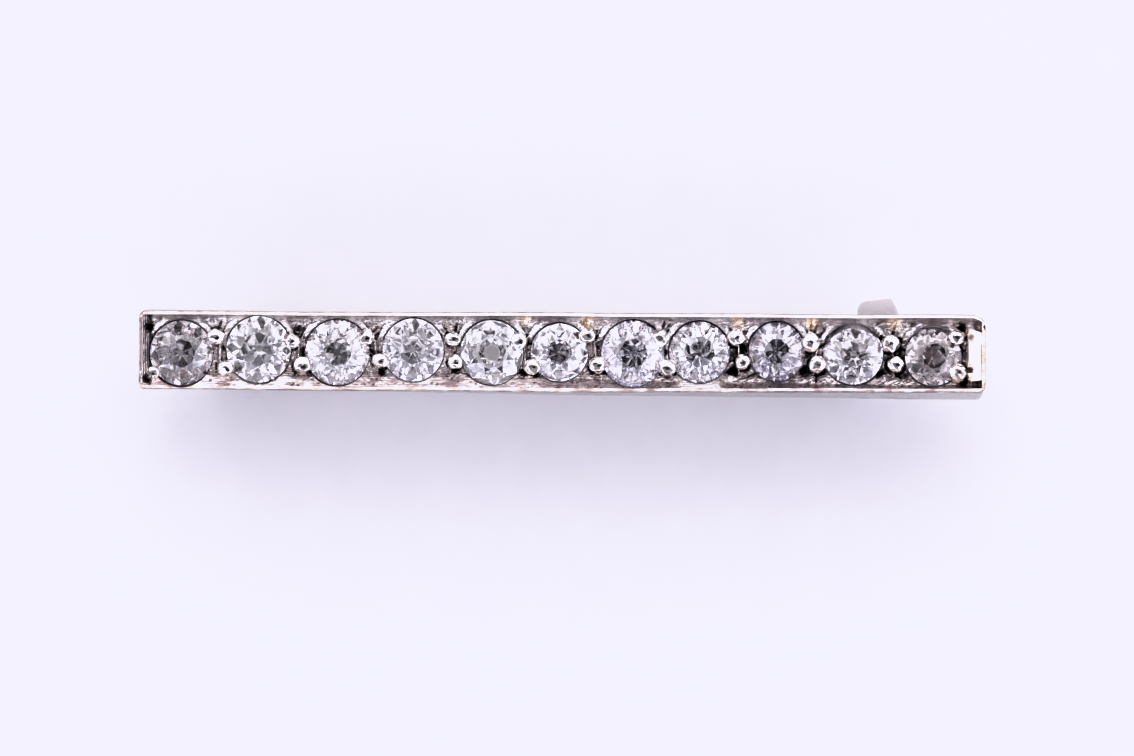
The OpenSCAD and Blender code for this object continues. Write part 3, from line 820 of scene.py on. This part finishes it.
def stain_values(c):
    """How brown each corner is."""
    x, y = c.x, c.y
    up_stain_and_glints = 0.48 + 0.12 * smooth(x, -4, 8) + 0.22 * waves(x, 81, 1.6)
    # The upper wall's glints are painted highlights: its stain is taken away there.
    for gx, half in UPPER_GLINTS:
        up_stain_and_glints = up_stain_and_glints - 0.6 * bump(x, gx, half)
    # The lower wall darkens towards its right end: brown stain, and painted shade where the twisted wall
    # turns from the light.
    low_stain_shade_and_glint = 0.62 + 0.22 * smooth(x, -2.5, 0) + 0.16 * smooth(x, 6, 8.5) + 0.14 * waves(x, 82, 1.1)
    for gx, half in LOWER_PATCHES:
        low_stain_shade_and_glint = low_stain_shade_and_glint + 0.7 * smooth(np.abs(x - gx + 0.3 * waves(y * 4, 103, 1.0)), half + 0.12, half)
    # The lower wall's bright cut is partly a painted highlight: its stain is taken away there.
    for gx, half in LOWER_GLINTS:
        low_stain_shade_and_glint = low_stain_shade_and_glint - 0.85 * smooth(np.abs(x - gx), half + 0.25, half)
    stain = c.upper * up_stain_and_glints + c.lower * low_stain_shade_and_glint * (1 - c.upper)
    stain = np.maximum(stain, c.left * (0.25 + 0.6 * c.grooves) * (1 - c.upper))
    stain = np.maximum(stain, c.middle * (0.12 + 0.45 * smooth(c.depth, 0.55, 0.85)))
    foot = c.middle * smooth(-y, 0.78, 0.90)
    stain = np.maximum(stain, foot * (0.62 + 0.25 * waves(x * 3 + y * 2, 94, 1.0)))
    for s in stones:
        crescent = crescent_share(stone_distance(x, y, s), y)
        stain = np.where(c.metal == "wall_metal", stain * (1 - 0.8 * crescent * (1 - c.upper)), stain)
    stain = stain * (1 - c.facet) + c.facet * (0.04 + 0.95 * c.facet_spot)
    stain = np.maximum(stain, np.where(c.metal == "back_metal", 0.0, 0.10) * (1 - c.inside))

    # The worn outer edges, the lower rim and the outer wall below it.
    stain = np.maximum(stain, 0.62 * smooth(c.e, 0.070, 0.040) * c.by_rim)
    stain = np.maximum(stain, 0.85 * smooth(c.e_bottom, 0.06, 0.03) * c.by_rim)
    low_rim = smooth(c.e_bottom, RIM_W + 0.02, RIM_W) * c.by_rim
    stain = np.maximum(stain, low_rim * (0.30 + 0.30 * smooth(x, -4, 4) + 0.35 * waves(x, 93, 0.8)))
    stain = np.maximum(stain, c.outer_wall * (0.14 + 0.10 * waves(x, 86, 1.3)))

    # The seats, the grains, the flat ends, the back and the catch below its lip.
    in_seat = np.array([look[3] for look in STONE_LOOKS])[c.nearest]
    in_seat = in_seat + (0.4 + 0.25 * waves(x * 2, 101, 1.0) - in_seat) * c.opening
    stain = np.where(c.metal == "seat_metal", in_seat, stain)
    on_grain = smooth(c.depth, 0.60, 0.90) * (0.25 + 0.40 * smooth(x, 3, 9))
    stain = np.where(c.metal == "grain_metal", on_grain, stain)
    stain = np.where(c.flat_end, 0.08, stain)
    back = smooth(c.depth, BAR_D - 0.3, BAR_D - 0.1) * smooth(y, 1.9, 1.7)
    stain = np.maximum(stain, back * (0.18 + 0.12 * waves(x, 83, 2.0)))
    below_lip = np.maximum(stain, 0.35 * smooth(c.own_y, 1.15, 0.95))
    return np.where(c.metal == "back_metal", below_lip, stain)


def soot_and_shade_values(c):
    """How black each corner is: dirt, painted shade in hollows and round the stones, and painted reflections.
    """
    x, y = c.x, c.y
    threshold = 0.92 - 0.10 * smooth(x, -2, 4) + 0.05 * waves(x * 3 - y * 4, 95, 1.0)
    flecks = smooth(waves(x * 5 + y * 2, 104, 1.0) * waves(y * 7 - x * 3, 105, 1.0), 0.16, 0.34)
    for gx, half in LOWER_GLINTS:
        flecks = flecks * smooth(np.abs(x - gx), half, half + 0.25)
    under_rim = c.upper * smooth(c.e_top, RIM_W + 0.08, RIM_W + 0.02)
    rim_line = smooth(np.abs(c.e_left - 0.085), 0.035, 0.015) * smooth(np.abs(y - 0.25), 1.25, 0.95)
    facet_line = c.facet * 0.8 * bump(c.e_right, RIM_W + 0.02, 0.035)
    # Painted shade in the deep recesses, under the top rim, in the left end's grooves and at their foot, by
    # the right end's facet, and on the lower wall's right part among its dirt flecks.
    soot_and_shade = np.maximum.reduce([
        0.95 * smooth(c.depth - threshold, -0.02, 0.10) * c.inside,
        c.lower * (1 - c.upper) * (0.20 * smooth(x, 7, 10) + 0.75 * flecks),
        (0.56 + 0.3 * waves(x, 87, 0.9)) * under_rim,
        0.85 * c.left * smooth(c.e_left, RIM_W + 0.18, RIM_W + 0.26),
        0.75 * c.left * smooth(c.grooves + 0.2 * waves(y * 3, 102, 1.0), 0.62, 0.85),
        0.70 * rim_line,
        facet_line * (0.7 + 0.6 * waves(y, 88, 0.6)),
        c.facet * 0.45 * c.facet_spot,
    ])
    for gx, half in FOOT_MARKS:
        mark = smooth(np.abs(x - gx), half + 0.05, half) * bump(c.depth, 2.2, 0.12)
        soot_and_shade = np.maximum(soot_and_shade, 0.9 * mark * c.outer_wall)
    # A painted shadow along the step at the outer edge of the bright cut beside each stone.
    for s in stones:
        crescent_shadow_line = bump(stone_distance(x, y, s), 0.33, 0.025) * smooth(y, 0.35, 0.75)
        soot_and_shade = np.maximum(soot_and_shade, 0.8 * crescent_shadow_line * smooth(c.e_top, 0.42, 0.52) * c.inside)
    # Painted shade in the recesses.
    for px, py, r, _, dark in PITS:
        soot_and_shade = np.maximum(soot_and_shade, dark * smooth(pit_distance(x, y, px, py), r * 1.5, r * 0.5) * c.inside)

    seat, grain = c.metal == "seat_metal", c.metal == "grain_metal"
    # Painted shade in the opening between each stone and the wall, darkest at the girdle.
    in_opening = 0.95 - 0.90 * smooth(c.over_girdle, 0.06, 0.17) + 0.06 * waves(x, 89, 0.7)
    soot_and_shade = np.where(seat, c.opening * in_opening, soot_and_shade)
    patches = smooth(waves(x * 2.2 + y * 1.7, 99, 1.0) * waves(y * 2.4 - x * 1.9, 100, 1.0), 0.12, 0.30)
    in_seat = 0.85 * patches * SEAT_SOOT[c.nearest] * (1 - c.opening)
    soot_and_shade = np.where(seat, np.maximum(soot_and_shade, in_seat), soot_and_shade)
    # Painted shade in the crevice round each grain's foot.
    soot_and_shade = np.where(grain, 0.9 * smooth(c.depth, 0.86, 1.0), soot_and_shade)
    # A painted reflection of the dark gap overhead: a black spot near each grain's top.
    for spot in grain_spots:
        dark_reflection = smooth(dark_reflection_distance(x, y, spot), DARK_REFLECTION_R + 0.10, DARK_REFLECTION_R - 0.06)
        soot_and_shade = np.where(grain, np.maximum(soot_and_shade, 0.95 * dark_reflection), soot_and_shade)
    return np.where(c.flat_end, 0, soot_and_shade)


def warm_values(c):
    """How warm each corner's colour is: painted highlights on the upper wall, a warm tint on rim, facet and
    grains.
    """
    warm = np.zeros(len(c.x))
    for gx, half in UPPER_GLINTS:
        warm = warm + 0.9 * bump(c.x, gx, half) * c.upper
    rim = smooth(c.e, RIM_W, RIM_W - 0.03) * c.by_rim
    warm = np.maximum(warm, 0.7 * np.maximum(c.facet, rim))
    on_grain = 0.15 + 0.5 * smooth(c.depth, 0.45, 0.7) * smooth(c.x, -6, 8)
    warm = np.where(c.metal == "grain_metal", on_grain, warm)
    return np.where(c.flat_end, 0, warm)


def add_values(mesh):
    """Stores the three values that the metals read on each face corner."""
    corners = Corners(mesh)
    for name, rule in (("stain", stain_values), ("soot_and_shade", soot_and_shade_values), ("warm", warm_values)):
        layer = mesh.attributes.new(name, "FLOAT", "CORNER")
        layer.data.foreach_set("value", np.clip(rule(corners), 0, 1).astype(np.float32))


class Nodes:
    """Short forms for building the nodes of a material or of the world."""

    def __init__(self, tree, coords):
        self.tree = tree
        self.place = self.node("TexCoord").outputs[coords]

    def put(self, value, socket):
        """Links a node's output to a socket, or sets the socket's own value."""
        if isinstance(value, bpy.types.NodeSocket):
            self.tree.links.new(value, socket)
        else:
            socket.default_value = value

    def node(self, kind, **inputs):
        n = self.tree.nodes.new("ShaderNode" + kind)
        for name, value in inputs.items():
            self.put(value, n.inputs[name.replace("_", " ")])
        return n

    def noise(self, scale, detail=3.0, roughness=0.55, distortion=0.0):
        """Noise with so many features to a millimetre along x, y and z."""
        place = self.node("Mapping", Vector=self.place, Scale=tuple(s / MM for s in scale)).outputs[0]
        n = self.node("TexNoise", Vector=place, Scale=1.0, Detail=detail, Roughness=roughness,
                      Distortion=distortion)
        return n.outputs["Fac"]

    def attribute(self, name):
        n = self.node("Attribute")
        n.attribute_name = name
        return n.outputs["Fac"]

    def math(self, kind, a, b=0.0):
        n = self.node("Math")
        n.operation = kind
        self.put(a, n.inputs[0])
        self.put(b, n.inputs[1])
        return n.outputs[0]

    def span(self, value, low, high, out_low=0.0, out_high=1.0, kind="LINEAR"):
        n = self.node("MapRange", Value=value, From_Min=low, From_Max=high, To_Min=out_low, To_Max=out_high)
        n.interpolation_type = kind
        return n.outputs["Result"]

    def mix(self, factor, a, b):
        n = self.node("Mix")
        n.data_type = "RGBA"
        self.put(factor, n.inputs["Factor"])
        for color, socket in zip((a, b), [s for s in n.inputs if s.type == "RGBA"]):
            self.put(color, socket)
        return [s for s in n.outputs if s.type == "RGBA"][0]

    def relief(self, height, distance, under=None):
        n = self.node("Bump", Height=height, Distance=distance * MM)
        if under is not None:
            self.put(under, n.inputs["Normal"])
        return n.outputs[0]

    def rounded(self, radius):
        n = self.node("Bevel", Radius=radius * MM)
        n.samples = 6
        return n.outputs[0]


class Shader(Nodes):
    """A new material with its nodes."""

    def __init__(self, name):
        self.mat = bpy.data.materials.new(name)
        self.mat.use_nodes = True
        super().__init__(self.mat.node_tree, "Object")
        self.bsdf = self.tree.nodes["Principled BSDF"]

    def set(self, name, value):
        self.put(value, self.bsdf.inputs[name])


def worn_metal(name, clean=CLEAN, gloss=0.10, streak=1.0, film_top=0.12):
    """White gold: polished where touched, streaked and stained in its hollows, blackened by dirt and painted
    shade.
    """
    s = Shader(name)
    streaks = s.noise((0.9, 16, 16), 4, 0.6)
    blotches = s.noise((2.2, 3.0, 3.0), 4, 0.6, 0.4)
    grit = s.noise((16, 16, 16), 3, 0.6)
    stain = s.attribute("stain")
    uneven = s.math("ADD", s.span(blotches, 0.3, 0.7, 0.50, 1.30), s.span(streaks, 0.3, 0.7, -0.30, 0.30))
    amount = s.math("MULTIPLY", stain, uneven)
    film = s.span(s.math("MULTIPLY", blotches, streaks), 0.16, 0.4, 0.0, film_top)
    amount = s.span(s.math("ADD", amount, film), 0.0, 1.0)
    color = s.mix(s.attribute("warm"), clean, WARM)
    color = s.mix(amount, color, BROWN)
    scratches = s.noise((0.7, 34, 34), 2, 0.5)
    lines = s.math("MULTIPLY", s.span(scratches, 0.56, 0.68, 0, 0.7), stain)
    black = s.math("MAXIMUM", s.attribute("soot_and_shade"), lines)
    soot_and_shade = s.span(s.math("ADD", black, s.span(grit, 0.3, 0.7, -0.12, 0.12)), 0.08, 0.95)
    color = s.mix(soot_and_shade, color, SOOT_AND_SHADE)
    s.set("Base Color", color)
    s.set("Metallic", 1)
    rough = s.math("ADD", s.span(amount, 0, 1, gloss, gloss + 0.15), s.span(grit, 0.3, 0.7, -0.03, 0.04))
    rough = s.math("ADD", rough, s.span(soot_and_shade, 0, 1, 0, 0.25))
    s.set("Roughness", rough)
    normal = s.relief(streaks, 0.012 * streak, s.rounded(0.022))
    normal = s.relief(blotches, 0.03 * streak, normal)
    normal = s.relief(grit, 0.003, normal)
    s.set("Normal", normal)
    return s.mat


def drawn_metal(name):
    """The pin's wire, with fine scratches along its length."""
    s = Shader(name)
    lines = s.noise((0.6, 30, 30), 3, 0.6)
    smudge = s.noise((0.8, 1.5, 1.5), 3, 0.5)
    color = s.mix(s.span(smudge, 0.35, 0.7), (0.84, 0.82, 0.80, 1), (0.60, 0.56, 0.53, 1))
    s.set("Base Color", color)
    s.set("Metallic", 1)
    s.set("Roughness", s.span(lines, 0.3, 0.7, 0.2, 0.38))
    s.set("Normal", s.relief(lines, 0.006, s.rounded(0.03)))
    return s.mat


def diamond(stone, look):
    """An old stone: a little haze and tint, and a worn film round its point."""
    wear, haze, tint, _, film_r, film, frost, film_color = look
    s = Shader("diamond_" + stone["name"][-2:])
    point = stone["centre"] + stone["axis"] * stone["bottom"]
    n = s.node("VectorMath")
    n.operation = "DISTANCE"
    s.put(s.place, n.inputs[0])
    s.put(point * MM, n.inputs[1])
    near = s.span(n.outputs["Value"], (film_r + 0.03) * MM, (film_r - 0.03) * MM)
    clouds = s.noise((1.6, 1.6, 1.6), 2, 0.5)
    filmed = s.math("MULTIPLY", near, s.span(clouds, 0.35, 0.6, min(1, film * 1.4), film * 0.6))
    veil = s.span(clouds, 0.3, 0.7, 1 - 1.8 * haze, 1 - 0.2 * haze)
    s.set("Base Color", s.mix(filmed, (*tint, 1), (*film_color, 1)))
    s.set("Transmission Weight", s.math("MULTIPLY", veil, s.math("SUBTRACT", 1, filmed)))
    s.set("Roughness", s.math("MULTIPLY", near, frost))
    s.set("Normal", s.relief(s.noise((0.85, 0.85, 0.85), 0, 0.5), wear))
    s.set("IOR", DIAMOND_IOR)
    return s.mat


def dress(node, mat):
    """Gives a CAD node a material of its own."""
    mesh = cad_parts[node].data
    mesh.materials.clear()
    mesh.materials.append(mat)


def make_camera():
    """A long lens nearly straight above the bar, whose rim lies where it does in the photo."""
    px = BAR_L / (RIM_RIGHT_PX - RIM_LEFT_PX)
    aim = Vector((
        (PHOTO_W / 2 - BAR_MIDDLE_PX[0]) * px,
        -CENTRE_Y - (PHOTO_H / 2 - BAR_MIDDLE_PX[1]) * px,
        MID_Z + BAR_D / 2,
    ))
    back = Vector((0, -math.sin(CAMERA_TILT), math.cos(CAMERA_TILT)))
    data = bpy.data.cameras.new("camera")
    data.sensor_width = 36
    data.lens = data.sensor_width * CAMERA_DISTANCE / (PHOTO_W * px)
    data.clip_start = 0.01
    camera = bpy.data.objects.new("camera", data)
    camera.location = (aim + back * CAMERA_DISTANCE) * MM
    turn = Matrix.Rotation(BAR_TURN, 4, back)
    camera.rotation_mode = "QUATERNION"
    camera.rotation_quaternion = (turn @ back.to_track_quat("Z", "Y").to_matrix().to_4x4()).to_quaternion()
    bpy.context.scene.collection.objects.link(camera)
    bpy.context.scene.camera = camera


def make_light():
    """A broad soft box beyond the brooch, facing it."""
    data = bpy.data.lights.new("far_box", "AREA")
    data.shape = "RECTANGLE"
    data.size, data.size_y = 0.32, 0.16
    data.energy = 0.08
    data.color = (1, 0.99, 0.97)
    light = bpy.data.objects.new("far_box", data)
    light.location = (0, 0.185, 0.23)
    light.rotation_mode = "QUATERNION"
    light.rotation_quaternion = light.location.to_track_quat("Z", "Y")
    bpy.context.scene.collection.objects.link(light)


def make_world():
    """A white light tent, brighter low down and on its far side, with uneven panels and a gap overhead."""
    world = bpy.data.worlds.new("tent")
    bpy.context.scene.world = world
    world.use_nodes = True
    s = Nodes(world.node_tree, "Generated")
    x, y, z = s.node("SeparateXYZ", Vector=s.place).outputs

    def soft(value, low, high):
        return s.span(value, low, high, kind="SMOOTHSTEP")

    def noise_at(scale, detail):
        return s.node("TexNoise", Vector=s.place, Scale=scale, Detail=detail).outputs["Fac"]

    along, across = s.math("ABSOLUTE", x), s.math("ABSOLUTE", y)
    low = soft(z, 0.75, 0.55)
    far = soft(y, -0.25, 0.15)
    total = s.math("ADD", s.math("MULTIPLY", far, TENT["far"] - TENT["near"]), TENT["near"])
    for part, key in ((soft(along, 0.45, 0.8), "sides"), (soft(x, 0.2, 0.8), "right"),
                      (s.math("MULTIPLY", low, soft(y, 0.3, 0.6)), "low_far"),
                      (s.math("MULTIPLY", low, soft(y, -0.3, -0.6)), "low_near")):
        total = s.math("ADD", total, s.math("MULTIPLY", part, TENT[key]))
    gap = s.math("MULTIPLY", soft(across, *GAP_ACROSS), soft(along, *GAP_ALONG))
    gap = s.math("MULTIPLY", gap, soft(z, *GAP_HEIGHT))
    gap = s.math("MULTIPLY", gap, soft(noise_at(SPOT_SCALE, 0), *GAP_SPOTS))
    open_part = s.math("SUBTRACT", 1, s.math("MULTIPLY", gap, GAP_DARK))
    uneven = soft(noise_at(PANEL_SCALE, 1), 0.36, 0.62)
    uneven = s.math("ADD", s.math("MULTIPLY", uneven, PANEL_RANGE[1] - PANEL_RANGE[0]), PANEL_RANGE[0])
    total = s.math("MULTIPLY", total, uneven)
    background = world.node_tree.nodes["Background"]
    s.put(s.math("MULTIPLY", total, open_part), background.inputs["Strength"])
    s.put(s.mix(soft(y, -0.5, 0.5), TENT_NEAR_COLOR, TENT_FAR_COLOR), background.inputs["Color"])


def set_tones():
    """Bright parts are held back softly, as a camera holds them."""
    view = bpy.context.scene.view_settings
    view.view_transform = "Standard"
    view.use_curve_mapping = True
    mapping = view.curve_mapping
    mapping.clip_max_x = TONES[-1][0]
    mapping.clip_max_y = max(TONE_SHARES)
    for curve, share in zip(mapping.curves, TONE_SHARES):
        curve.points[1].location = (TONES[-1][0], min(1, TONES[-1][1] * share))
        for light, shown in TONES[1:-1]:
            curve.points.new(light, min(1, shown * share))
    mapping.update()


def make_floor():
    """The pale cloth that the brooch lies on."""
    half = 0.3
    floor = make_object("floor", [(-half, -half, 0), (half, -half, 0), (half, half, 0), (-half, half, 0)],
                        [(0, 1, 2, 3)])
    s = Shader("floor")
    cloth = s.noise((0.5, 0.5, 0.5), 4, 0.6)
    s.set("Base Color", s.mix(s.span(cloth, 0.3, 0.7), (0.81, 0.81, 0.82, 1), (0.83, 0.83, 0.84, 1)))
    s.set("Roughness", 0.9)
    s.set("Specular IOR Level", 0.2)
    floor.data.materials.append(s.mat)


def make_setting():
    """The whole setting as one closed mesh: the bar with its seats and grains, and what is soldered on."""
    wall_metal = worn_metal("wall_metal")
    grain_metal = worn_metal("grain_metal", GRAIN_CLEAN, gloss=0.07, streak=0.3)
    seat_metal = worn_metal("seat_metal", SEAT_CLEAN, gloss=0.15)
    # Darker than the face's metal: painted shade.
    side_metal = worn_metal("side_metal", SIDE_SHADED, gloss=0.24, streak=0.5, film_top=0.08)
    back_metal = worn_metal("back_metal", BACK_CLEAN, gloss=0.60, streak=0.5, film_top=0.03)
    bar = make_bar(wall_metal, side_metal)
    combine(bar, openings(seat_metal), "DIFFERENCE")
    combine(bar, grains(grain_metal), "UNION")
    combine(bar, seats(seat_metal), "DIFFERENCE")
    for side in (1, -1):
        combine(bar, hinge_ear(side, side_metal), "UNION")
        foot = (HINGE_X, side * (EAR_Y + 0.02) - CENTRE_Y, BACK_Z + 0.03 + 0.06 * side)
        combine(bar, solder(foot, EAR_SOLDER, side + 2, side_metal), "UNION")
    combine(bar, hook_catch(back_metal), "UNION")
    foot = (CATCH_X, -CATCH_FLAT / 2 - PIN_Z + CATCH_T / 2 - CENTRE_Y, BACK_Z - 0.06)
    combine(bar, solder(foot, CATCH_SOLDER, 7, side_metal), "UNION")
    add_values(bar.data)
    bar.data.transform(METRES)
    return bar


make_camera()
make_world()
make_floor()
make_light()

setting = make_setting()
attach(setting, "root")
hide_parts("setting")

for stone, look in zip(stones, STONE_LOOKS):
    dress(stone["name"], diamond(stone, look))
dress("pin", drawn_metal("pin_metal"))
set_tones()
bpy.context.scene.cycles.glossy_bounces = 16
bpy.context.scene.cycles.transmission_bounces = 16
bpy.context.scene.cycles.max_bounces = 24
